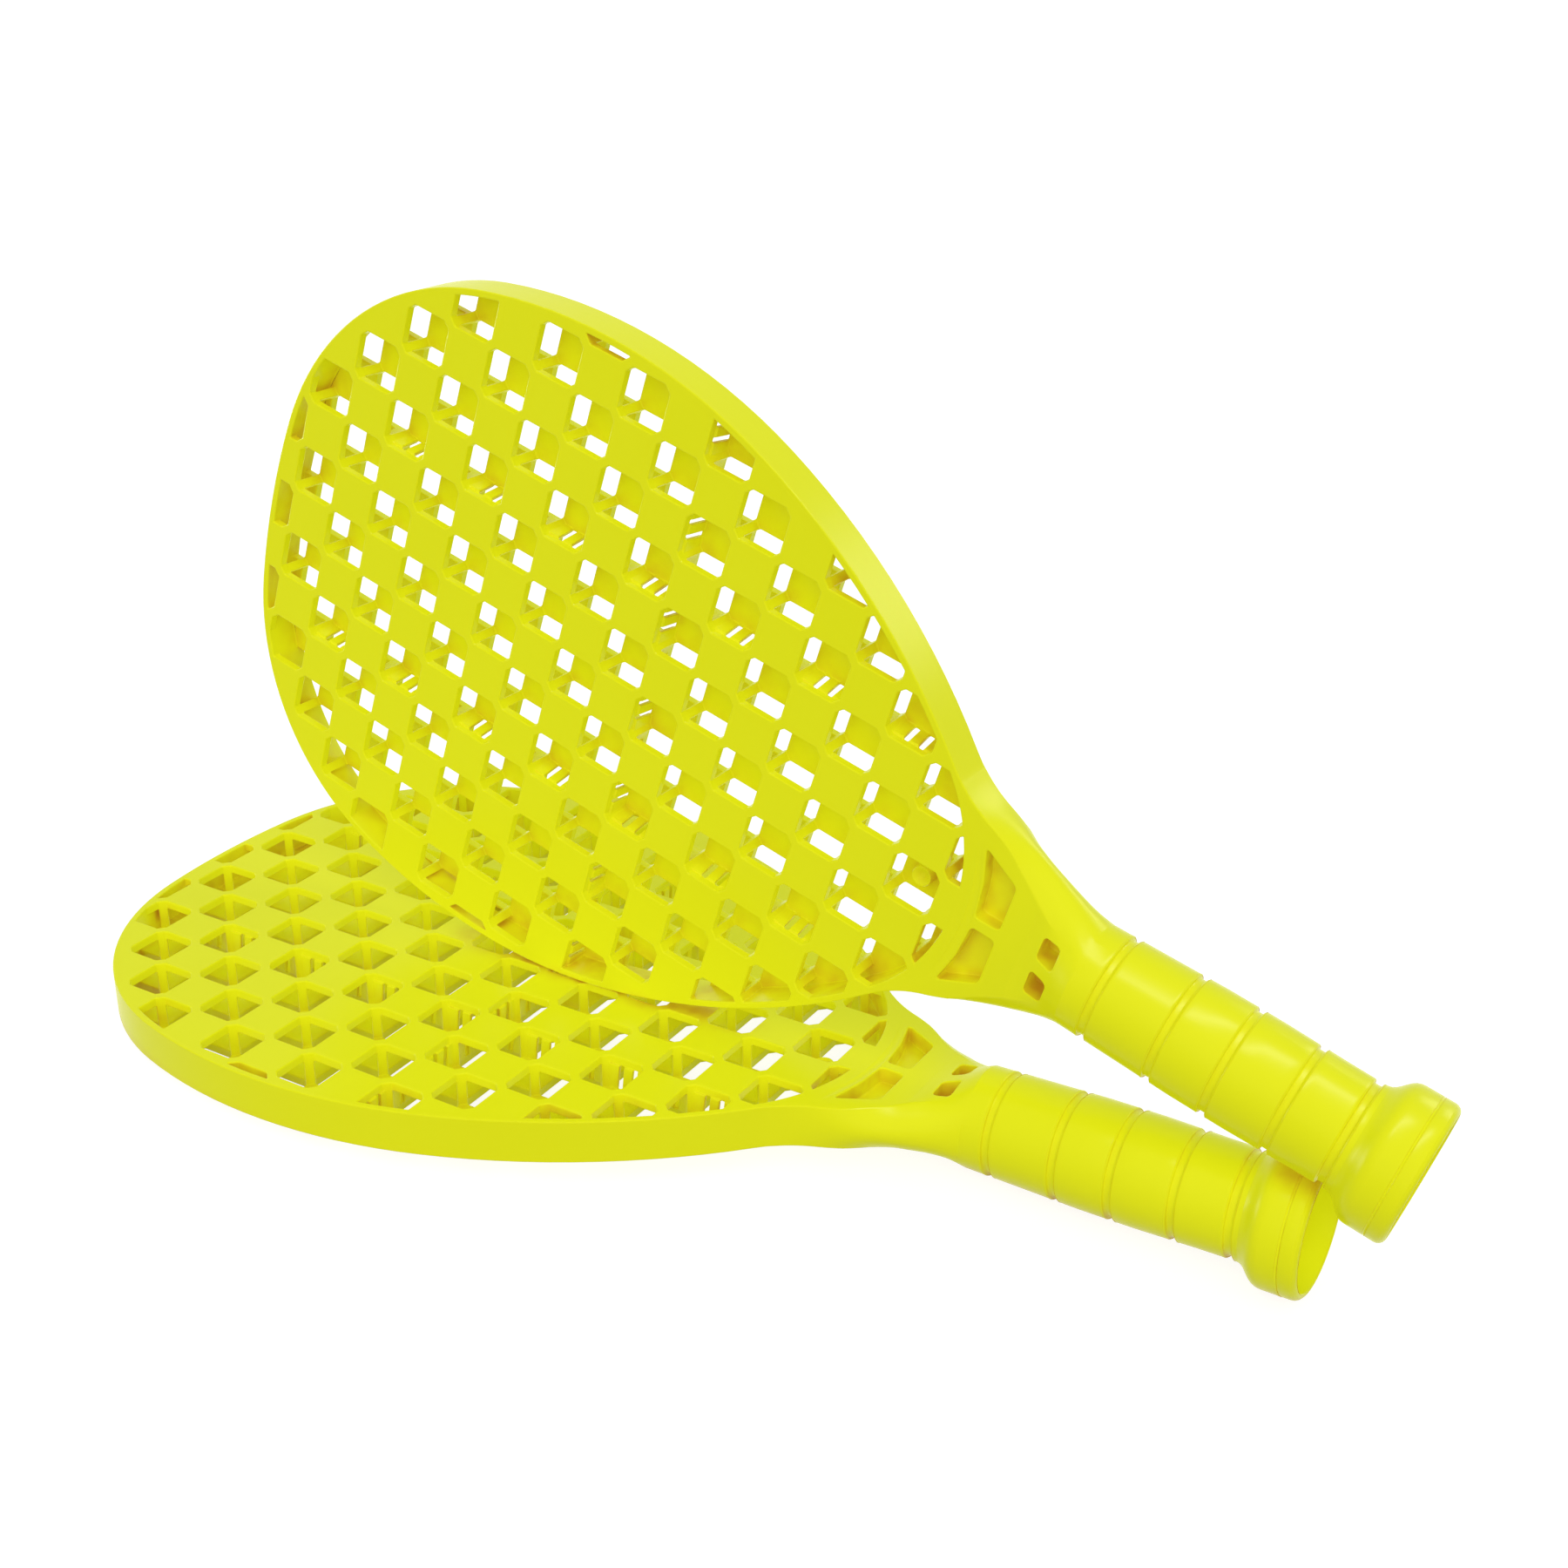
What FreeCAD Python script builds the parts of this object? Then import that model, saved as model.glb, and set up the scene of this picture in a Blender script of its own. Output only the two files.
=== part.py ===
"""A pair of moulded plastic bats, one lying flat and one standing on its long edge on top of it.

Each bat is modelled in its own frame: X runs along the bat from head to butt, Y across the head and Z
through its thickness, with the origin on the mid-plane, on the lattice line nearest the head's middle.
The head is a double-skinned lattice: every second square is open in the front skin, the others are open
in the back skin, and diamond posts at the corners of the squares hold the two skins apart.
"""
import FreeCAD
import Part
import Sketcher
import math
import os

from FreeCAD import Placement, Rotation, Vector

os.makedirs("parts", exist_ok=True)
doc = FreeCAD.newDocument("bats")

# Driving dimensions in millimetres and degrees
SIZES = {
    "pitch": 14.5,                # side of one lattice square
    "head_thickness": 13.2,
    "skin": 2.8,                  # thickness of the front and back skins
    "corner_leg": 2.0,            # cut corner of an opening, and half the width of a post
    "rim_wall": 2.0,              # wall around the lattice
    "least_opening": 20.0,        # openings under this area at the rim are left closed
    "tip_x": -138.0,
    "tip_radius": 229.0,
    "tip_turn": 6.63,
    "cheek_radius": 78.3,
    "cheek_turn": 67.45,
    "side_radius": 156.4,
    "side_turn": 36.58,
    "shoulder_radius": 205.6,
    "shoulder_turn": 25.75,
    "neck_radius": 40.0,
    "neck_turn": 25.7,
    "throat_length": 36.0,
    "rise_start": 12.0,           # where the throat's flats start to rise, from the start of the throat
    "grip_radius": 15.2,
    "grip_length": 78.3,
    "flare_length": 7.2,
    "knob_radius": 19.7,
    "knob_length": 11.0,
    "knob_edge": 2.0,
    "butt_wall": 2.3,
    "mouth_depth": 10.0,
    "grip_wall": 3.2,
    "bore_depth": 88.0,
    "floor_height": 2.5,          # floor of the throat's recesses, above the mid-plane
    "recess_web": 3.4,            # rib between the two large recesses
    "recess_start_inner": 4.2,    # from the start of the throat
    "recess_start_outer": 0.9,
    "recess_end": 12.0,
    "recess_outer_start": 21.7,   # from the centre line
    "recess_outer_end": 15.8,
    "slot_start": 24.4,
    "slot_end": 30.2,
    "slot_web": 4.4,
    "slot_outer": 9.6,
    "cut_clearance": 1.0,         # how far a cutting shape stands out of what it cuts
    "seat_gap": 0.3,              # between the two bats where one rests on the other
    "lean": 1.8,                  # of the standing bat, from upright
    "yaw": 1.34,                  # of the standing bat, about the vertical
    "standing_x": 34.3,
    "standing_y": 0.4,
}

sheet = doc.addObject("Spreadsheet::Sheet", "sizes")
for row, (name, value) in enumerate(SIZES.items(), start=1):
    sheet.set(f"A{row}", name)
    sheet.set(f"B{row}", str(value))
    sheet.setAlias(f"B{row}", name)
doc.recompute()


def size(name):
    """Value of one driving dimension, read from the sheet."""
    return float(sheet.get(name))


PITCH = size("pitch")
HALF = size("head_thickness") / 2
GAP = HALF - size("skin")
LEG = size("corner_leg")
CLEAR = size("cut_clearance")


class Chain:
    """Tangent arcs that start on the X axis, heading along +Y."""

    def __init__(self, x, inset=0.0):
        self.point = Vector(x + inset, 0, 0)
        self.heading = math.pi / 2
        self.inset = inset
        self.edges = []

    def turn(self, radius, degrees):
        """Add an arc of this radius and turn: positive degrees turn right, and negative ones left."""
        side = math.copysign(1, degrees)
        reach = radius - side * self.inset
        angle = math.radians(abs(degrees))
        inward = Vector(math.sin(self.heading), -math.cos(self.heading), 0) * side
        centre = self.point + inward * reach
        stops = []
        for share in (0.5, 1.0):
            way = self.heading - side * angle * share
            stops.append(centre - Vector(math.sin(way), -math.cos(way), 0) * side * reach)
        self.edges.append(Part.Arc(self.point, *stops).toShape())
        self.heading -= side * angle
        self.point = stops[-1]
        return centre


def mirrored(edges):
    """The same edges reflected in the X axis."""
    return [edge.mirror(Vector(0, 0, 0), Vector(0, 1, 0)) for edge in edges]


def closed_face(edges):
    return Part.Face(Part.Wire(Part.__sortEdges__(edges)))


def head_arcs(chain):
    """The four arcs down one side of the head, and the centre of the one at its side."""
    chain.turn(size("tip_radius"), size("tip_turn"))
    chain.turn(size("cheek_radius"), size("cheek_turn"))
    side_centre = chain.turn(size("side_radius"), size("side_turn"))
    chain.turn(size("shoulder_radius"), size("shoulder_turn"))
    return side_centre


# Outline of the head: four arcs a side, then a hollow neck that ends where the throat starts
outline = Chain(size("tip_x"))
SIDE_CENTRE = head_arcs(outline)
outline.turn(size("neck_radius"), -size("neck_turn"))
THROAT_X = outline.point.x
THROAT_HALF = outline.point.y
end_line = Part.makeLine(outline.point, Vector(THROAT_X, -THROAT_HALF, 0))
HEAD_FACE = closed_face(outline.edges + mirrored(outline.edges) + [end_line])

# Lattice zone: the same outline one wall in, closed by an arc at the throat
zone = Chain(size("tip_x"), size("rim_wall"))
head_arcs(zone)
end_turn = zone.heading + math.pi / 2
end_reach = zone.point.y / math.sin(end_turn)
zone_end = Vector(zone.point.x + end_reach * (1 - math.cos(end_turn)), 0, 0)
middle_turn = end_turn / 2
zone_middle = Vector(zone_end.x - end_reach * (1 - math.cos(middle_turn)), end_reach * math.sin(middle_turn), 0)
zone.edges.append(Part.Arc(zone.point, zone_middle, zone_end).toShape())
ZONE_FACE = closed_face(zone.edges + mirrored(zone.edges))

sheet.set(f"A{len(SIZES) + 1}", "throat_half, worked out from the outline")
sheet.set(f"B{len(SIZES) + 1}", str(THROAT_HALF))
sheet.setAlias(f"B{len(SIZES) + 1}", "throat_half")
doc.recompute()


def polygon(points):
    points = [Vector(x, y, 0) for x, y in points]
    return Part.Face(Part.makePolygon(points + points[:1]))


def opening(column, row):
    """One square of the lattice with its corners cut off."""
    left, right = column * PITCH, (column + 1) * PITCH
    low, high = (row - 0.5) * PITCH, (row + 0.5) * PITCH
    return polygon([
        (left + LEG, low), (right - LEG, low), (right, low + LEG), (right, high - LEG),
        (right - LEG, high), (left + LEG, high), (left, high - LEG), (left, low + LEG),
    ])


def post(column, row):
    """The diamond at the corner between this square and the next row and column."""
    x, y = column * PITCH, (row + 0.5) * PITCH
    return polygon([(x - LEG, y), (x, y - LEG), (x + LEG, y), (x, y + LEG)])


NEAR = 0.01    # a corner this near the edge of the zone counts as inside it


def inside(face):
    """Whether all corners of a small face lie in the lattice zone."""
    return all(ZONE_FACE.isInside(vertex.Point, NEAR, True) for vertex in face.Vertexes)


box = ZONE_FACE.BoundBox
COLUMNS = range(math.floor(box.XMin / PITCH), math.ceil(box.XMax / PITCH) + 1)
ROWS = range(-math.ceil(box.YMax / PITCH), math.ceil(box.YMax / PITCH) + 1)

skins = {0: [], 1: []}
whole_posts = []
edge_posts = []
for column in COLUMNS:
    for row in ROWS:
        face = opening(column, row)
        if not inside(face):
            face = face.common(ZONE_FACE)
        if face.Area > size("least_opening"):
            skins[(column + row) % 2].append(face)
        face = post(column, row)
        if inside(face):
            whole_posts.append(face)
        elif face.common(ZONE_FACE).Area > 0:
            edge_posts.append(face)
void = Part.Face([ZONE_FACE.OuterWire] + [face.OuterWire for face in whole_posts])
void.validate()
if edge_posts:
    void = void.cut(edge_posts)


def raised(face, low, high):
    """A prism on this face between two heights."""
    return face.translated(Vector(0, 0, low)).extrude(Vector(0, 0, high - low))


def bound(item, **expressions):
    """Bind properties of an object to the sheet."""
    for prop, expression in expressions.items():
        item.setExpression(prop, expression)
    return item


# Head of one bat: a blank of the outline, with the openings and the space between the skins cut out
profile = doc.addObject("Part::Feature", "head_profile")
profile.Shape = HEAD_FACE
blank = doc.addObject("Part::Extrusion", "head_blank")
blank.Base = profile
blank.DirMode = "Custom"
blank.Dir = Vector(0, 0, 1)
bound(blank, LengthFwd="sizes.head_thickness / 2", LengthRev="sizes.head_thickness / 2")
openings = doc.addObject("Part::Feature", "head_openings")
prisms = [raised(face, GAP, HALF + CLEAR) for face in skins[0]]
prisms += [raised(face, -HALF - CLEAR, -GAP) for face in skins[1]]
prisms.append(raised(void, -GAP, GAP))
openings.Shape = Part.makeCompound(prisms)
head = doc.addObject("Part::Cut", "head")
head.Base = blank
head.Tool = openings


def origin_plane(body, role):
    return next(item for item in body.Origin.OriginFeatures if item.Role == role)


def sketch_on(body, name, role, offset):
    """A sketch on one of the body's own origin planes, moved along the plane's normal."""
    sketch = body.newObject("Sketcher::SketchObject", name)
    sketch.AttachmentSupport = [(origin_plane(body, role), "")]
    sketch.MapMode = "FlatFace"
    sketch.setExpression("AttachmentOffset.Base.z", offset)
    return sketch


ARC_CENTRE = 3    # how a sketch numbers an arc's centre


def pin(sketch, geometry, end, x, y=None):
    """Hold one point of a line or arc at a place given by two expressions, or only its distance along X."""
    for kind, expression in (("DistanceX", x), ("DistanceY", y)):
        if expression is None:
            continue
        value = sketch.evalExpression(expression)
        constraint = sketch.addConstraint(Sketcher.Constraint(kind, -1, 1, geometry, end, float(value)))
        sketch.setExpression(f"Constraints[{constraint}]", expression)


def loop(sketch, corners, curved=None):
    """A closed outline whose corners are pairs of expressions, with straight sides.

    One side may be an arc: it leaves the side before it, which runs along X, without a kink.
    """
    places = [Vector(*(float(sketch.evalExpression(text)) for text in corner), 0) for corner in corners]
    for index, corner in enumerate(corners):
        following = (index + 1) % len(corners)
        start, end = places[index], places[following]
        ends = [corner, corners[following]]
        if index == curved:
            along = end - start
            radius = along.Length ** 2 / (2 * abs(along.y))
            turn = math.asin(along.x / radius) / 2
            up = math.copysign(1, along.y)
            middle = start + Vector(radius * math.sin(turn), up * radius * (1 - math.cos(turn)), 0)
            stops = [start, middle, end]
            if up < 0:
                stops.reverse()
                ends.reverse()
            side = sketch.addGeometry(Part.Arc(*stops))
            pin(sketch, side, ARC_CENTRE, corner[0])
        else:
            side = sketch.addGeometry(Part.LineSegment(start, end))
        pin(sketch, side, 1, *ends[0])
        pin(sketch, side, 2, *ends[1])


# Handle of one bat, with X = 0 where the throat leaves the head
handle = doc.addObject("PartDesign::Body", "handle")
cone_profile = sketch_on(handle, "cone_profile", "XZ_Plane", "0")
loop(cone_profile, [
    ("0", "0"),
    ("0", "sizes.throat_half"),
    ("sizes.throat_length", "sizes.grip_radius"),
    ("sizes.throat_length", "0"),
])
cone = handle.newObject("PartDesign::Revolution", "cone")
cone.Profile = cone_profile
cone.ReferenceAxis = (cone_profile, ["H_Axis"])
cone.Angle = 360

# The throat's cone is cut flat, level with the head's faces, and the flats rise in an arc to the grip
flats_profile = sketch_on(handle, "flats_profile", "XZ_Plane", "0")
for sign in ("", "-"):
    loop(flats_profile, [
        ("-sizes.cut_clearance", sign + "sizes.head_thickness / 2"),
        ("sizes.rise_start", sign + "sizes.head_thickness / 2"),
        ("sizes.throat_length", sign + "sizes.grip_radius"),
        ("sizes.throat_length", sign + "(sizes.throat_half + sizes.cut_clearance)"),
        ("-sizes.cut_clearance", sign + "(sizes.throat_half + sizes.cut_clearance)"),
    ], curved=1)
flats = handle.newObject("PartDesign::Pocket", "flats")
flats.Profile = flats_profile
flats.Midplane = True
flats.setExpression("Length", "2 * (sizes.throat_half + sizes.cut_clearance)")

GRIP_END = "sizes.throat_length + sizes.grip_length"
KNOB = GRIP_END + " + sizes.flare_length"
BUTT = KNOB + " + sizes.knob_length"
grip_profile = sketch_on(handle, "grip_profile", "XZ_Plane", "0")
loop(grip_profile, [
    ("sizes.throat_length", "0"),
    ("sizes.throat_length", "sizes.grip_radius"),
    (GRIP_END, "sizes.grip_radius"),
    (KNOB, "sizes.knob_radius"),
    (BUTT + " - sizes.knob_edge", "sizes.knob_radius"),
    (BUTT, "sizes.knob_radius - sizes.knob_edge"),
    (BUTT, "0"),
])
grip = handle.newObject("PartDesign::Revolution", "grip")
grip.Profile = grip_profile
grip.ReferenceAxis = (grip_profile, ["H_Axis"])
grip.Angle = 360

bore_profile = sketch_on(handle, "bore_profile", "XZ_Plane", "0")
MOUTH = "sizes.knob_radius - sizes.butt_wall"
BORE = "sizes.grip_radius - sizes.grip_wall"
loop(bore_profile, [
    (BUTT + " - sizes.bore_depth", "0"),
    (BUTT + " - sizes.bore_depth", BORE),
    (BUTT + " - sizes.mouth_depth", BORE),
    (BUTT + " - sizes.mouth_depth", MOUTH),
    (BUTT + " + sizes.cut_clearance", MOUTH),
    (BUTT + " + sizes.cut_clearance", "0"),
])
bore = handle.newObject("PartDesign::Groove", "bore")
bore.Profile = bore_profile
bore.ReferenceAxis = (bore_profile, ["H_Axis"])
bore.Angle = 360

for side, sign in (("front", ""), ("back", "-")):
    recess_profile = sketch_on(handle, side + "_recess_profile", "XY_Plane", sign + "sizes.floor_height")
    for hand in ("", "-"):
        loop(recess_profile, [
            ("sizes.recess_start_inner", hand + "sizes.recess_web / 2"),
            ("sizes.recess_start_outer", hand + "sizes.recess_outer_start"),
            ("sizes.recess_end", hand + "sizes.recess_outer_end"),
            ("sizes.recess_end", hand + "sizes.recess_web / 2"),
        ])
        loop(recess_profile, [
            ("sizes.slot_start", hand + "sizes.slot_web / 2"),
            ("sizes.slot_start", hand + "sizes.slot_outer"),
            ("sizes.slot_end", hand + "sizes.slot_outer"),
            ("sizes.slot_end", hand + "sizes.slot_web / 2"),
        ])
    recess = handle.newObject("PartDesign::Pocket", side + "_recess")
    recess.Profile = recess_profile
    recess.Type = "ThroughAll"
    recess.Reversed = side == "front"
doc.recompute()


STEEPEST = 45       # degrees, a bound for the standing bat's pitch
CLOSE = 1e-9        # radians, how closely its pitch is found


def seated_pitch():
    """Pitch of the standing bat, and its height, with its head on the lying bat's face and its grip on the knob."""
    gap = size("seat_gap")
    side = size("side_radius")
    grip_radius = size("grip_radius")
    edge_x = THROAT_X + size("throat_length") + size("grip_length") + size("flare_length")
    edge_x += size("knob_length") - size("knob_edge") - size("standing_x")
    aside = size("standing_y") - math.sin(math.radians(size("yaw"))) * edge_x
    reach = size("knob_radius") + grip_radius
    knob_top = math.sqrt(reach ** 2 - aside ** 2) - grip_radius
    drop = HALF * math.sin(math.radians(size("lean")))
    low, high = 0.0, math.radians(STEEPEST)
    while high - low > CLOSE:
        pitch = (low + high) / 2
        height = HALF + gap + side + drop * math.cos(pitch)
        height += SIDE_CENTRE.x * math.sin(pitch) + SIDE_CENTRE.y * math.cos(pitch)
        clear = height - edge_x * math.tan(pitch) - knob_top - (grip_radius + gap) / math.cos(pitch)
        low, high = (pitch, high) if clear > 0 else (low, pitch)
    return math.degrees(pitch), height


# The standing bat is turned on edge, leaned, pitched down towards its butt and yawed
PITCH_DOWN, STANDING_Z = seated_pitch()
turned = Rotation(Vector(1, 0, 0), 90 - size("lean"))
pitched = Rotation(Vector(0, 1, 0), PITCH_DOWN)
yawed = Rotation(Vector(0, 0, 1), -size("yaw"))
standing = Placement(Vector(size("standing_x"), size("standing_y"), STANDING_Z), yawed * pitched * turned)

# On the ground the lying bat stands on its knob and on the tip of its head
knob_x = THROAT_X + size("throat_length") + size("grip_length") + size("flare_length")
rise = math.atan2(size("knob_radius") - HALF, knob_x - size("tip_x"))
tilt = Placement(Vector(0, 0, 0), Rotation(Vector(0, 1, 0), -math.degrees(rise)))

at_throat = Placement(Vector(THROAT_X, 0, 0), Rotation())
BATS = {"lower_bat": tilt, "upper_bat": tilt * standing}
subparts = []
for bat, place in BATS.items():
    for piece, source, start in (("head", head, Placement()), ("handle", handle, at_throat)):
        item = doc.addObject("Part::Compound", f"{bat}_{piece}")
        item.Label = item.Name
        item.Links = [source]
        item.Placement = place * start
        subparts.append(item)
doc.recompute()

# Origin under the middle of the pair, on the ground
bounds = FreeCAD.BoundBox()
for item in subparts:
    bounds.add(item.Shape.optimalBoundingBox(False, False))
to_ground = Placement(Vector(-bounds.Center.x, -bounds.Center.y, -bounds.ZMin), Rotation())
for item in subparts:
    item.Placement = to_ground * item.Placement
doc.recompute()

for item in doc.Objects:
    if {"Invalid", "Error"} & set(item.State):
        raise RuntimeError(f"{item.Name}: {item.State}")
for item in subparts:
    if item.Shape.isNull() or not item.Shape.isValid():
        raise RuntimeError(f"{item.Label} has no valid shape")
for item in subparts:
    item.Shape.exportStep(f"parts/{item.Label}.step")
    print(item.Label, "volume", round(item.Shape.Volume), "solids", len(item.Shape.Solids))
print("pitch of the standing bat", round(PITCH_DOWN, 3), "tilt of the lying bat", round(math.degrees(rise), 3))
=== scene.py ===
"""Two moulded plastic bats on a white table: one lies flat, and one stands on its long edge on top of it."""
import math

import bmesh
import bpy
from mathutils import Euler, Matrix, Vector


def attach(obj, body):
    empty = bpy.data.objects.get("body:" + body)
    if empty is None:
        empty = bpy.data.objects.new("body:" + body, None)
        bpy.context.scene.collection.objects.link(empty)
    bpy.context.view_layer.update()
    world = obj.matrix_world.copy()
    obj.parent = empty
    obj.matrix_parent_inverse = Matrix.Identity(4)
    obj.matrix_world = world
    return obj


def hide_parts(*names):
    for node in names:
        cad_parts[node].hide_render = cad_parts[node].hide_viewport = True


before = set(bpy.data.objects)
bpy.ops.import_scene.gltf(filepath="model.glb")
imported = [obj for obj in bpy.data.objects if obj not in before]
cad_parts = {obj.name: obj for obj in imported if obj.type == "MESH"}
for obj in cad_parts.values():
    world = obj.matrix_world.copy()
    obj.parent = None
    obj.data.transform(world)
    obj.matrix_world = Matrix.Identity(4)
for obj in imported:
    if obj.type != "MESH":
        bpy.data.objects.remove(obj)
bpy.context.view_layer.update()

# Camera: a 50 mm lens about 0.6 m from the middle of the pair, above the table and to its right. It is turned
# by degrees about X, Y and Z.
lens = bpy.data.cameras.new("lens")
lens.lens = 50
lens.sensor_width = 36
camera = bpy.data.objects.new("camera", lens)
bpy.context.scene.collection.objects.link(camera)
camera.location = (0.27969, -0.462154, 0.363751)
camera.rotation_euler = Euler([math.radians(angle) for angle in (63.6934, -2.105, 31.1404)])
bpy.context.scene.camera = camera
bpy.context.scene.view_settings.view_transform = "Standard"


# Surroundings: plain white where they are seen, straight, in a reflection or through glass, and a slightly
# cool daylight of half that strength for what they light.
def hex_to_linear(code):
    """Linear colour, with alpha, from an sRGB hex code."""
    shares = [int(code[index:index + 2], 16) / 255 for index in (1, 3, 5)]
    return [share / 12.92 if share <= 0.04045 else ((share + 0.055) / 1.055) ** 2.4
            for share in shares] + [1.0]


def add_node(tree, kind, settings=None, links=None):
    """A node of a material or world: settings are values of its sockets, by name or number, or of its
    properties, and links feed its sockets."""
    node = tree.nodes.new(kind)
    for name, value in (settings or {}).items():
        if isinstance(name, int) or name in node.inputs:
            node.inputs[name].default_value = value
        else:
            setattr(node, name, value)
    for name, output in (links or {}).items():
        tree.links.new(output, node.inputs[name])
    return node


def empty_tree(owner):
    """The node tree of a material or world, with nothing in it."""
    owner.use_nodes = True
    owner.node_tree.nodes.clear()
    return owner.node_tree


def rays_that_see_white(tree):
    """1 for the rays that show the surroundings: those of the camera, of reflections and through glass."""
    path = add_node(tree, "ShaderNodeLightPath")
    either = add_node(tree, "ShaderNodeMath", {"operation": "MAXIMUM"},
                      {0: path.outputs["Is Camera Ray"], 1: path.outputs["Is Glossy Ray"]})
    any_of = add_node(tree, "ShaderNodeMath", {"operation": "MAXIMUM"},
                      {0: either.outputs[0], 1: path.outputs["Is Transmission Ray"]})
    return any_of.outputs[0]


surroundings = bpy.data.worlds.new("surroundings")
bpy.context.scene.world = surroundings
tree = empty_tree(surroundings)
daylight = add_node(tree, "ShaderNodeBackground", {"Color": hex_to_linear("#EDF8FF"), "Strength": 0.5})
white = add_node(tree, "ShaderNodeBackground", {"Color": hex_to_linear("#FFFFFF"), "Strength": 1.0})
sky = add_node(tree, "ShaderNodeMixShader",
               links={0: rays_that_see_white(tree), 1: daylight.outputs[0], 2: white.outputs[0]})
add_node(tree, "ShaderNodeOutputWorld", links={"Surface": sky.outputs[0]})

# Table: a sheet of matt white laminate. It keeps the bats' shadows, and where it is seen it glows as well, so
# that it comes out as white as the surroundings. It reaches 12 m each way, so that no view shows its end.
TABLE_REACH = 12.0
table = bmesh.new()
bmesh.ops.create_grid(table, x_segments=1, y_segments=1, size=TABLE_REACH)
table_mesh = bpy.data.meshes.new("table")
table.to_mesh(table_mesh)
table.free()
table_top = bpy.data.objects.new("table", table_mesh)
bpy.context.scene.collection.objects.link(table_top)
laminate = bpy.data.materials.new("white_laminate")
tree = empty_tree(laminate)
matt = add_node(tree, "ShaderNodeBsdfDiffuse", {"Color": hex_to_linear("#A0A0A0")})
glow = add_node(tree, "ShaderNodeEmission", {"Color": hex_to_linear("#FFFFFF"), "Strength": 0.85})
both = add_node(tree, "ShaderNodeAddShader", links={0: matt.outputs[0], 1: glow.outputs[0]})
top = add_node(tree, "ShaderNodeMixShader",
               links={0: rays_that_see_white(tree), 1: matt.outputs[0], 2: both.outputs[0]})
add_node(tree, "ShaderNodeOutputMaterial", links={"Surface": top.outputs[0]})
table_mesh.materials.append(laminate)

# Two soft warm suns light the bats, from beside the camera and from behind on the right. They don't show in
# reflections. Each has its direction in the sky, its strength and the degrees that it spreads over.
for name, towards, strength, spread in (
    ("front", (0.3, -0.75, 0.58), 1.35, 70),
    ("back", (0.35, 0.3, 0.85), 0.25, 25),
):
    sun = bpy.data.lights.new(name, "SUN")
    sun.energy = strength
    sun.angle = math.radians(spread)
    sun.color = hex_to_linear("#FFF1DE")[:3]
    lamp = bpy.data.objects.new(name, sun)
    lamp.rotation_euler = Vector(towards).to_track_quat("Z", "Y").to_euler()
    lamp.visible_glossy = False
    bpy.context.scene.collection.objects.link(lamp)

# Three soft boxes show only as reflections: overhead, facing straight down, for the pale strips along the
# handles, at the left for the pale edges of the openings, and behind for the knobs and the rim. Each has its
# place, the point that it faces, its size in metres and its power.
OVERHEAD_TURN = 58.7  # degrees, so that the strip's reflection runs along the handles
for name, place, aim, size, power in (
    ("overhead", (0.24, -0.095, 0.8), None, (0.55, 0.06), 4.2),
    ("left", (-1.1, -0.15, 0.16), (0.1, 0, 0.05), (0.6, 0.32), 5.0),
    ("behind", (0.5, 0.95, 0.6), (0.1, 0, 0.08), (0.35, 0.35), 2.2),
):
    box = bpy.data.lights.new(name, "AREA")
    box.shape = "RECTANGLE"
    box.size, box.size_y = size
    box.energy = power
    lamp = bpy.data.objects.new(name, box)
    lamp.location = place
    if aim:
        lamp.rotation_euler = (Vector(aim) - Vector(place)).to_track_quat("-Z", "Y").to_euler()
    else:
        lamp.rotation_euler = (0, 0, math.radians(OVERHEAD_TURN))
    lamp.visible_diffuse = False
    bpy.context.scene.collection.objects.link(lamp)

# Handle of one bat: a hollow throat that narrows from the head to a round, barrelled grip with five grooves,
# and a flared knob, open at the butt. It is one moulding with the head. Sizes are in millimetres, with X
# along the bat from the lattice line nearest the middle of its head.
MM = 0.001
HALF = 6.6  # half of the head's thickness
THROAT_X = 109.11  # where the head ends and the throat starts
ROUND = 96  # points round a section
FLAT_SHARE = 17  # of these on its top, from corner to corner
LEAST_CROWN, LEAST_BULGE = 0.001, 0.0001  # below these a top or a flank is as good as flat


def section(along, wide, edge, flat, crown, round_share=1):
    """Points round one section of the throat: wide is half its width, flat half the width of its top, edge
    the height of the top's corners and crown how much higher its middle is. Its flank is straighter than an
    arc where round_share is low."""
    points = []
    top_steps = FLAT_SHARE - 1
    for step in range(top_steps):
        share = 1 - 2 * step / top_steps
        if crown > LEAST_CROWN:
            bend = (flat ** 2 + crown ** 2) / (2 * crown)
            turn = math.asin(min(1, flat / bend)) * share
            points.append((bend * math.sin(turn), edge + crown - bend * (1 - math.cos(turn))))
        else:
            points.append((flat * share, edge))
    flank_steps = ROUND // 2 - top_steps
    bulge = max(wide - flat, LEAST_BULGE)
    bend = (edge ** 2 + bulge ** 2) / (2 * bulge)
    half_turn = math.atan2(edge, bend - bulge)
    for step in range(flank_steps):
        share = 1 - 2 * step / flank_steps
        turn = half_turn * share
        arc = (wide - bend + bend * math.cos(turn), bend * math.sin(turn))
        plain = (wide - bulge * share ** 2, edge * share)
        points.append((-(arc[0] * round_share + plain[0] * (1 - round_share)),
                       arc[1] * round_share + plain[1] * (1 - round_share)))
    points += [(-across, -height) for across, height in points]
    return [Vector((along, across, height)) * MM for across, height in points]


def ring(along, radius):
    """Points round a round section. Its top reaches 9.4 mm to each side on a radius of 15.2 mm, which is the
    share that the throat's top ends with."""
    flat = radius * 9.4 / 15.2
    edge = math.sqrt(radius ** 2 - flat ** 2)
    return section(along, radius, edge, flat, radius - edge)


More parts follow.
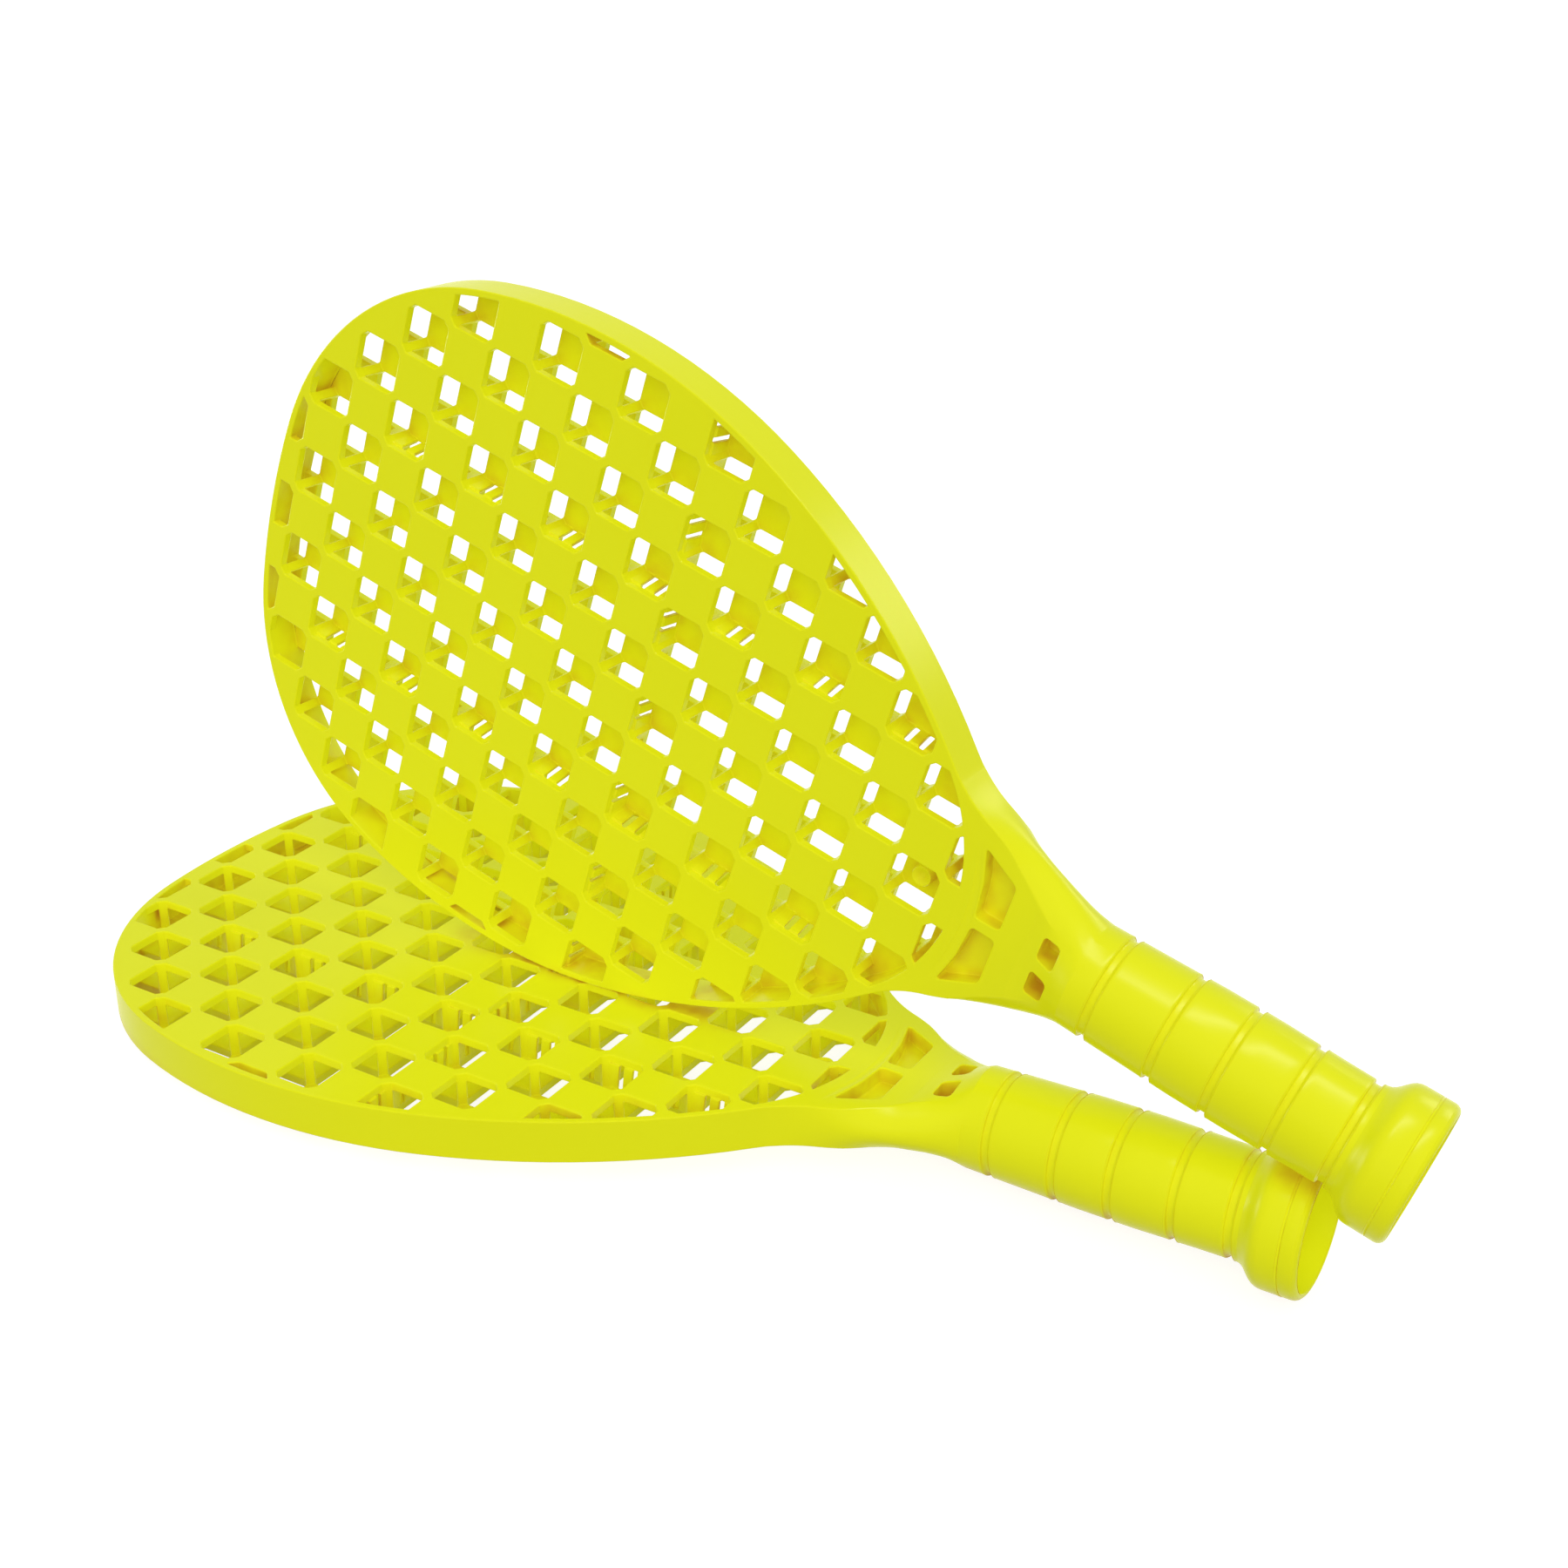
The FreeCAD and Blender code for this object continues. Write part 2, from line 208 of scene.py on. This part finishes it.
def between(low, high, share):
    """Smooth step from 0 at low to 1 at high."""
    share = min(1, max(0, (share - low) / (high - low)))
    return share * share * (3 - 2 * share)


def read(pairs, along):
    """Straight reading between pairs of a place along the handle and a size there."""
    for (first, low), (last, high) in zip(pairs, pairs[1:]):
        if along <= last:
            return low + (high - low) * (along - first) / (last - first)
    return pairs[-1][1]


# In the pairs below the first number is millimetres along from the throat's start.
THROAT = 36  # length of the throat
GRIP_START = 14.7  # radius of the grip where the throat ends
THROAT_HALF = 28.18  # half of its width where it leaves the rim
OVER = 0.12  # it stands this proud of the rim's wall, so that the two solids cut each other cleanly
SWELL = 0.8  # the flank's middle stands this much further out there
WIDTHS = [(0, THROAT_HALF + OVER + SWELL), (6, 27.35), (12, 25.15), (18, 22.6), (24, 19.9), (30, 17.2),
          (THROAT, GRIP_START)]
FLATS = [(0, THROAT_HALF + OVER), (3, 27.0), (6, 25.4), (9, 23.3), (12, 20.8), (19, 15.8), (26, 11.7),
         (32, 9.7), (THROAT, 9.09)]
INTO_HEAD = 1.4  # the handle's solid starts this far inside the head's
START_FLAT = 28.2  # half width of its top there
CROWN_HALF = 9.08  # half width of the crown that the top has grown into where the throat ends
RISE_START, RISE_RADIUS = 12, 37.8  # the top rises from the head's face on a hollow arc
CROWN_START, ARC_START = 20, 16  # where the top starts to crown, and the flank to bend to a full arc
sections = [section(THROAT_X - INTO_HEAD, THROAT_HALF + OVER, HALF, START_FLAT, 0)]
full_crown = GRIP_START - math.sqrt(GRIP_START ** 2 - CROWN_HALF ** 2)
for step in range(THROAT // 2 + 1):
    s = 2.0 * step
    rise = RISE_RADIUS - math.sqrt(RISE_RADIUS ** 2 - max(0, s - RISE_START) ** 2)
    top = min(HALF + rise, GRIP_START) if s < THROAT else GRIP_START
    crown = full_crown * between(CROWN_START, THROAT, s)
    sections.append(section(THROAT_X + s, read(WIDTHS, s), top - crown, read(FLATS, s), crown,
                            between(ARC_START, THROAT, s)))
BARREL = [(THROAT, GRIP_START), (54.9, 15.1), (69.4, 15.45), (85.4, 15.45), (104.2, 15.0), (115, 14.9)]
GROOVES = (43.5, 63.1, 79.3, 96.9, 112.5)  # where their middles are; next, how deep one is along from there
GROOVE = [(-1.35, 0), (-1.15, 0.18), (-0.95, 1.0), (0.95, 1.0), (1.15, 0.18), (1.35, 0)]
BETWEEN_GROOVES = [36.6, 39, 41, 46, 48.5, 51, 53.5, 56, 58.5, 61, 66, 69.5, 73, 76.5, 82.5, 86, 89.5, 93,
                   100, 103.5, 107, 110.3]
outer = [(middle + s, read(BARREL, middle) - depth) for middle in GROOVES for s, depth in GROOVE]
outer += [(s, read(BARREL, s)) for s in BETWEEN_GROOVES]
outer.sort()
FLARE = [(114.5, 14.95), (115.5, 15.2), (116.4, 15.75), (117.3, 16.6), (118.2, 17.6), (119.1, 18.5),
         (120.0, 19.15), (121.0, 19.55), (122.2, 19.7)]
KNOB = [(125.0, 19.7), (127.1, 19.7), (127.25, 19.5), (127.45, 19.5), (127.6, 19.7),  # with its parting line
        (130.3, 19.7), (131.0, 19.56), (131.7, 19.15), (132.2, 18.55), (132.42, 17.9)]
MOUTH = [(132.42, 17.6), (132.2, 17.4), (122.5, 17.3), (122.2, 12.0), (44.5, 12.0)]  # and back up the hollow
sections += [ring(THROAT_X + s, radius) for s, radius in outer + FLARE + KNOB + MOUTH]


def loft(mesh, rows):
    """A closed solid through rows of points, all with the same number of points."""
    first = bmesh.ops.create_circle(mesh, segments=len(rows[0]), radius=0.01)["verts"]
    for vertex, point in zip(first, rows[0]):
        vertex.co = point
    bmesh.ops.contextual_create(mesh, geom=first)
    edges = list(dict.fromkeys(edge for vertex in first for edge in vertex.link_edges))
    ring_now = list(first)
    for points in rows[1:]:
        made = bmesh.ops.extrude_edge_only(mesh, edges=edges)["geom"]
        fresh = {item for item in made if isinstance(item, bmesh.types.BMVert)}
        edges = [item for item in made
                 if isinstance(item, bmesh.types.BMEdge) and fresh.issuperset(item.verts)]
        ring_now = [next(edge.other_vert(vertex) for edge in vertex.link_edges
                         if edge.other_vert(vertex) in fresh)
                    for vertex in ring_now]
        for vertex, point in zip(ring_now, points):
            vertex.co = point
    bmesh.ops.contextual_create(mesh, geom=ring_now)


def solid(mesh, name):
    """An object from a bmesh, for cutting, joining or showing."""
    data = bpy.data.meshes.new(name)
    mesh.to_mesh(data)
    mesh.free()
    item = bpy.data.objects.new(name, data)
    bpy.context.scene.collection.objects.link(item)
    return item


handle = bmesh.new()
loft(handle, sections)
bmesh.ops.recalc_face_normals(handle, faces=handle.faces)
handle_solid = solid(handle, "handle_solid")

# Head of one bat: the two-skinned lattice, as the frame has it, brought back to the bat's own place. The
# lying bat is tilted by 2 degrees, because its knob is wider than its head is thick. The other stands on it,
# leaning by 1.8 degrees, with its handle sloping down by 16.8 degrees.
lower_place = Matrix.Translation(Vector((-65.395, 0, 11.497)) * MM) \
    @ Matrix.Rotation(math.radians(-2.035), 4, "Y")
upper_place = lower_place @ Matrix.Translation(Vector((34.3, 0.4, 97.4925)) * MM) \
    @ Matrix.Rotation(math.radians(-1.34), 4, "Z") @ Matrix.Rotation(math.radians(16.773), 4, "Y") \
    @ Matrix.Rotation(math.radians(88.2), 4, "X")
SKIN = 2.8  # thickness of each skin
SNAP = 0.02  # the frame's points are rounded, and this near to their true place
head = bmesh.new()
head.from_mesh(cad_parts["lower_bat_head"].data)
bmesh.ops.remove_doubles(head, verts=head.verts, dist=0.002 * MM)
bmesh.ops.transform(head, matrix=lower_place.inverted(), verts=head.verts)
levels = [side * height * MM for side in (1, -1) for height in (HALF, HALF - SKIN)]
for vertex in head.verts:
    nearest = min(levels, key=lambda level: abs(level - vertex.co.z))
    if abs(nearest - vertex.co.z) < SNAP * MM:
        vertex.co.z = nearest
    on_throat = abs(vertex.co.x - THROAT_X * MM) < SNAP * MM
    if on_throat and abs(vertex.co.y) > 25 * MM:  # the corners, at THROAT_HALF
        vertex.co.x = THROAT_X * MM
        vertex.co.y = math.copysign(THROAT_HALF * MM, vertex.co.y)
head_solid = solid(head, "head_solid")

# Cheeks: the rim's wall swells on the hollow arc before the throat, so that the two run into each other. Each
# is a sliver of plastic laid on that wall, which it leaves and reaches without a step.
NECK_RADIUS = 40.0  # the hollow arc and its middle
NECK_X, NECK_Y = 123.255, 65.595
SWELL_X = 94.6  # where the swell starts
SUNK, SUNK_SHARE = 0.3, 0.3  # it starts below the wall and comes out of it over this share of its length
INTO_RIM = 1.2  # how deep the cheek reaches into the rim
ALONG_STEPS, LEVEL_STEPS = 14, 16  # along the cheek, and from a face of the head to its middle
cheeks = bmesh.new()
for hand in (1, -1):
    rows = []
    for step in range(ALONG_STEPS + 1):
        share = step / ALONG_STEPS
        along = SWELL_X + (THROAT_X - SWELL_X) * share
        wall = NECK_Y - math.sqrt(NECK_RADIUS ** 2 - (along - NECK_X) ** 2)
        wall += OVER - SUNK * (1 - between(0, SUNK_SHARE, share))
        bulge = SWELL * share ** 2
        heights = [1 - level / LEVEL_STEPS for level in range(2 * LEVEL_STEPS + 1)]
        profile = [(wall - INTO_RIM, HALF)]
        profile += [(wall + bulge * (1 - height ** 2), HALF * height) for height in heights]
        profile += [(wall - INTO_RIM, -HALF)]
        rows.append([Vector((along, hand * across, height)) * MM for across, height in profile])
    loft(cheeks, rows)
bmesh.ops.recalc_face_normals(cheeks, faces=cheeks.faces)
cheek_solid = solid(cheeks, "cheek_solid")

# Recesses in the throat, two large ones beside a middle rib and two small slots on each face. They keep the
# thick plastic from sinking as it cools, and their corners are rounded, as the mould's cores are.
LARGE = [(4.8, 1.6), (3.7, 12.0), (0.9, 22.0), (12.2, 16.0), (12.2, 1.8)]  # corners, along and across
SLOT = [(24.5, 2.0), (24.5, 9.0), (30.0, 8.8), (30.3, 2.0)]
LARGE_FLOOR, SLOT_FLOOR = 1.8, 1.0  # heights of their floors above the middle of the bat
CORE = 20  # height of the cutting solid, more than the throat's
CORNER_ROUND = 1.3
recesses = bmesh.new()
for side in (1, -1):
    for hand in (1, -1):
        for level, corners in ((LARGE_FLOOR, LARGE), (SLOT_FLOOR, SLOT)):
            places = [Vector((THROAT_X + s, hand * across, side * level)) * MM for s, across in corners]
            vertices = [recesses.verts.new(place) for place in places]
            floor = recesses.faces.new(vertices)
            made = bmesh.ops.extrude_face_region(recesses, geom=[floor])["geom"]
            lifted = [item for item in made if isinstance(item, bmesh.types.BMVert)]
            bmesh.ops.translate(recesses, vec=Vector((0, 0, side * CORE)) * MM, verts=lifted)
            upright = [edge for vertex in vertices for edge in vertex.link_edges
                       if edge.other_vert(vertex) in lifted]
            bmesh.ops.bevel(recesses, geom=upright, offset=CORNER_ROUND * MM, offset_type="OFFSET",
                            segments=4, profile=0.5, affect="EDGES", material=-1)
bmesh.ops.recalc_face_normals(recesses, faces=recesses.faces)
recess_solid = solid(recesses, "recess_solid")


def combine(item, other, operation):
    """The first solid joined with, or cut by, the second, which is then removed."""
    change = item.modifiers.new("join", "BOOLEAN")
    change.operation = operation
    change.solver = "MANIFOLD"
    change.object = other
    bpy.context.view_layer.update()
    made = bpy.data.meshes.new_from_object(item.evaluated_get(bpy.context.evaluated_depsgraph_get()))
    item.modifiers.clear()
    item.data = made
    bpy.data.objects.remove(other)


combine(handle_solid, recess_solid, "DIFFERENCE")

# Webs that close the side windows of the lattice along three of its lines: each is a thin plate between the
# two skins with two slanted slits, so it is left as three bars.
PITCH = 14.5  # from line to line of the lattice
WEB = 1.3  # thickness of a web
INTO_SKIN = 0.3  # how far its ends reach into the skins
# Where each bar starts and ends, as shares of a window's width, first at the front skin and then at the back.
BARS = (((0.08, 0.08), (0.35, 0.28)), ((0.46, 0.40), (0.67, 0.60)), ((0.78, 0.72), (0.92, 0.92)))
# Each window has a start and a direction: two lines run along the bat, and one across it.
webs = bmesh.new()
windows = [((column * PITCH, side * 2.5 * PITCH), (1, 0)) for side in (1, -1) for column in range(-8, 6)]
windows += [((0, (5.5 - row) * PITCH), (0, 1)) for row in range(13)]
for (x, y), (right, up) in windows:
    for (front_low, back_low), (front_high, back_high) in BARS:
        corners = [(front_low, 1), (front_high, 1), (back_high, -1), (back_low, -1)]
        vertices = []
        for share, side in corners:
            along = share * PITCH
            height = side * (HALF - SKIN + INTO_SKIN)
            corner = Vector((x + along * right - up * WEB / 2, y + along * up - right * WEB / 2, height))
            vertices.append(webs.verts.new(corner * MM))
        plate = webs.faces.new(vertices)
        made = bmesh.ops.extrude_face_region(webs, geom=[plate])["geom"]
        lifted = [item for item in made if isinstance(item, bmesh.types.BMVert)]
        bmesh.ops.translate(webs, vec=Vector((up * WEB, right * WEB, 0)) * MM, verts=lifted)
bmesh.ops.recalc_face_normals(webs, faces=webs.faces)
web_solid = solid(webs, "web_solid")

# Gate boss: the round stub that the plastic was injected at, on the inside of the back skin near the throat.
# It tapers a little, so that it leaves the mould, and has a small pit where the gate broke off.
GATE_X, GATE_Z = 94.25, -1.6  # its middle
GATE_FOOT, GATE_TOP, GATE_HEIGHT = 3.2, 2.9, 4.8  # two radii and the height
PIT_WALL, PIT_DEPTH = 2.2, 1.0  # from the boss's edge to the pit, and down into it
gate = bmesh.new()
bmesh.ops.create_cone(gate, cap_ends=True, segments=24, radius1=GATE_FOOT * MM, radius2=GATE_TOP * MM,
                      depth=GATE_HEIGHT * MM, matrix=Matrix.Translation(Vector((GATE_X, 0, GATE_Z)) * MM))
pit = [face for face in gate.faces if face.normal.z > 0.9]
bmesh.ops.inset_region(gate, faces=pit, thickness=PIT_WALL * MM)
bmesh.ops.translate(gate, vec=Vector((0, 0, -PIT_DEPTH)) * MM, verts=pit[0].verts)
gate_solid = solid(gate, "gate_solid")

# Shallow round-bottomed groove that sets the rim's band off from the throat, on both faces. Its cutter is a
# round bar bent to the band's arc, and tilted, so that the groove fades towards its two ends.
BAND = 59.5  # the groove's distance from the middle of its arc
BAND_CENTRE = Vector((52.5, 0, 0)) * MM
BAND_REACH = 27  # degrees to each side of the bat's middle line
VALLEY = 3.0  # radius of the bar
DEPTH = 0.26  # of the groove where it is deepest
TILT = 3.0  # degrees
band = bmesh.new()
for side in (1, -1):
    place = Matrix.Translation(BAND_CENTRE + Vector((0, 0, side * (HALF + VALLEY - DEPTH))) * MM) \
        @ Matrix.Rotation(math.radians(-BAND_REACH), 4, "Z") @ Matrix.Translation(Vector((BAND, 0, 0)) * MM) \
        @ Matrix.Rotation(math.radians(90), 4, "X")
    made = bmesh.ops.create_circle(band, segments=48, radius=VALLEY * MM, matrix=place)["verts"]
    start = bmesh.ops.contextual_create(band, geom=made)["faces"]
    bmesh.ops.spin(band, geom=start, cent=BAND_CENTRE, axis=(0, 0, 1), angle=math.radians(2 * BAND_REACH),
                   steps=48, use_merge=False)
    bmesh.ops.rotate(band, cent=BAND_CENTRE + Vector((BAND, 0, side * HALF)) * MM,
                     matrix=Matrix.Rotation(math.radians(side * TILT), 3, "Y"),
                     verts=[vertex for vertex in band.verts if vertex.co.z * side > 0])
bmesh.ops.recalc_face_normals(band, faces=band.faces)
band_solid = solid(band, "band_solid")

# One bat: all the solids become one moulding, as they leave the mould. Its flat faces are freed of the joins'
# leftover edges, its sharp edges are rounded, and the shading is smooth but for the remaining creases.
EDGE_ROUND = 0.35
FLAT_WITHIN, SHARP, CREASE = 0.6, 28, 16  # angles between two faces, in degrees
for part, operation in ((web_solid, "UNION"), (gate_solid, "UNION"), (cheek_solid, "UNION"),
                        (handle_solid, "UNION"), (band_solid, "DIFFERENCE")):
    combine(head_solid, part, operation)
bat = bmesh.new()
bat.from_mesh(head_solid.data)
bpy.data.objects.remove(head_solid)
bmesh.ops.remove_doubles(bat, verts=bat.verts, dist=0.004 * MM)
bmesh.ops.dissolve_limit(bat, angle_limit=math.radians(FLAT_WITHIN), verts=bat.verts, edges=bat.edges)
sharp = [edge for edge in bat.edges
         if len(edge.link_faces) == 2 and edge.calc_face_angle() > math.radians(SHARP)]
bmesh.ops.bevel(bat, geom=sharp, offset=EDGE_ROUND * MM, offset_type="OFFSET", segments=2, profile=0.5,
                affect="EDGES", clamp_overlap=False, material=-1)
for face in bat.faces:
    face.smooth = True
for edge in bat.edges:
    edge.smooth = len(edge.link_faces) == 2 and edge.calc_face_angle() < math.radians(CREASE)

# Moulded polypropylene, dyed right through in a bright yellow-green, and slightly rough from its mould. The
# hollows are painted darker and orange, in patches, as painted shade for the warmer, darker light that comes
# back from them. The weak glow is painted light: it stands for the light that a fluorescent dye sends back.
CLOUD = 45.45  # the dye lies in clouds about 45 mm wide
BLOTCH = 6.25  # patches of warm light in the hollows are about 6 mm wide
GRAIN = 1.111  # the mould's grain is about 0.2 mm; it is drawn coarser, so that it shows
HOLLOW = 12  # a surface with something this near in front of it counts as hollow
plastic = bpy.data.materials.new("moulded_polypropylene")
tree = empty_tree(plastic)
place = add_node(tree, "ShaderNodeTexCoord")
cloud = add_node(tree, "ShaderNodeTexNoise", {"Scale": 1 / (CLOUD * MM), "Detail": 2.0},
                 {"Vector": place.outputs["Object"]})
shade = add_node(tree, "ShaderNodeMix",
                 {"data_type": "RGBA", 6: hex_to_linear("#DCE014"), 7: hex_to_linear("#E0E41A")},
                 {"Factor": cloud.outputs["Fac"]})
# Painted shade: the nearer something stands in front of a surface, the more its colour is darkened towards
# orange.
hollow = add_node(tree, "ShaderNodeAmbientOcclusion", {"Distance": HOLLOW * MM, "samples": 8})
depth = add_node(tree, "ShaderNodeMapRange",
                 {"From Min": 0.05, "From Max": 0.75, "To Min": 1.0, "To Max": 0.0},
                 {"Value": hollow.outputs["AO"]})
blotch = add_node(tree, "ShaderNodeTexNoise", {"Scale": 1 / (BLOTCH * MM), "Detail": 1.0},
                  {"Vector": place.outputs["Object"]})
patchy = add_node(tree, "ShaderNodeMapRange",
                  {"From Min": 0.35, "From Max": 0.65, "To Min": 0.4, "To Max": 1.0},
                  {"Value": blotch.outputs["Fac"]})
warm = add_node(tree, "ShaderNodeMath", {"operation": "MULTIPLY"},
                {0: depth.outputs[0], 1: patchy.outputs[0]})
# Painted shade in the hollows: the dye's colour is mixed towards a dark orange there, in patches.
dye_and_painted_shade = add_node(tree, "ShaderNodeMix", {"data_type": "RGBA", 7: hex_to_linear("#BE8E20")},
                {"Factor": warm.outputs[0], 6: shade.outputs[2]})
grain = add_node(tree, "ShaderNodeTexNoise", {"Scale": 1 / (GRAIN * MM), "Detail": 2.0},
                 {"Vector": place.outputs["Object"]})
relief = add_node(tree, "ShaderNodeBump", {"Strength": 0.05, "Distance": 0.2 * MM},
                  {"Height": grain.outputs["Fac"]})
# The emission is painted light: an even glow of the plastic's colour that lifts its shaded sides and hollows.
shell = add_node(tree, "ShaderNodeBsdfPrincipled",
                 {"Roughness": 0.27, "IOR": 1.49, "Specular IOR Level": 0.09, "Emission Strength": 0.25},
                 {"Base Color": dye_and_painted_shade.outputs[2], "Normal": relief.outputs[0],
                  "Emission Color": dye_and_painted_shade.outputs[2]})
add_node(tree, "ShaderNodeOutputMaterial", links={"Surface": shell.outputs[0]})

# The two bats are the same moulding: one lies on the table, and the other stands on its edge on it. Each
# takes the place of its head and its handle in the frame, and rides on its bat's body.
for name, place in (("lower_bat", lower_place), ("upper_bat", upper_place)):
    copy = bat.copy()
    bmesh.ops.transform(copy, matrix=place, verts=copy.verts)
    moulding = solid(copy, name + "_moulding")
    moulding.data.materials.clear()
    moulding.data.materials.append(plastic)
    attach(moulding, name)
    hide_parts(name + "_head", name + "_handle")
bat.free()
